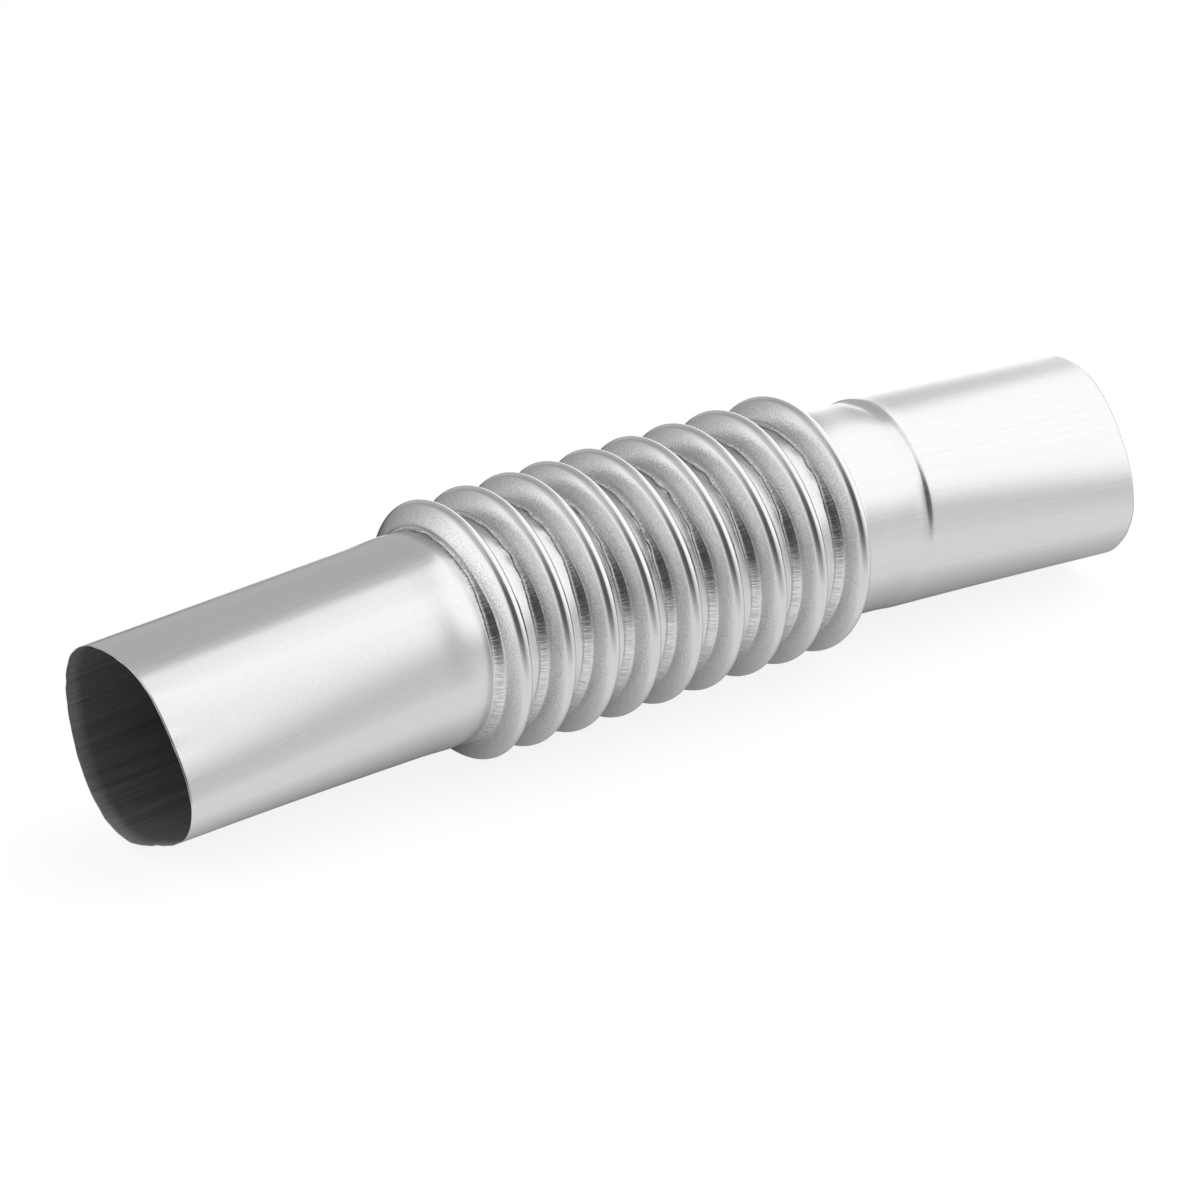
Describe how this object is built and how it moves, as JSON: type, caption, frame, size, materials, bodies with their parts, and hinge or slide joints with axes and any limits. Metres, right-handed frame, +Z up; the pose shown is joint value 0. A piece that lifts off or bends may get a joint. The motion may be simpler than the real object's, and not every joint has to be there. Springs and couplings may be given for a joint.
{
  "type": "flue elbow",
  "caption": "Bendable round flue tube of thin bright metal with a plain spigot at one end, a beaded stretch that lets it bend, and a socket on a short neck at the other.",
  "frame": {"origin": "bottom centre of the bounding box, on the surface that the beads lie on", "axes": "+X runs along the beads from the spigot towards the socket, +Z is up; both ends droop towards -Z, so the bend lies in the XZ plane"},
  "size_m": [0.597, 0.136, 0.1356],
  "materials": {
    "aluminium": "bright rolled sheet, satin, with fine lines along the tube"
  },
  "bodies": {
    "root": {"elbow_tube": "aluminium"}
  },
  "joints": []
}
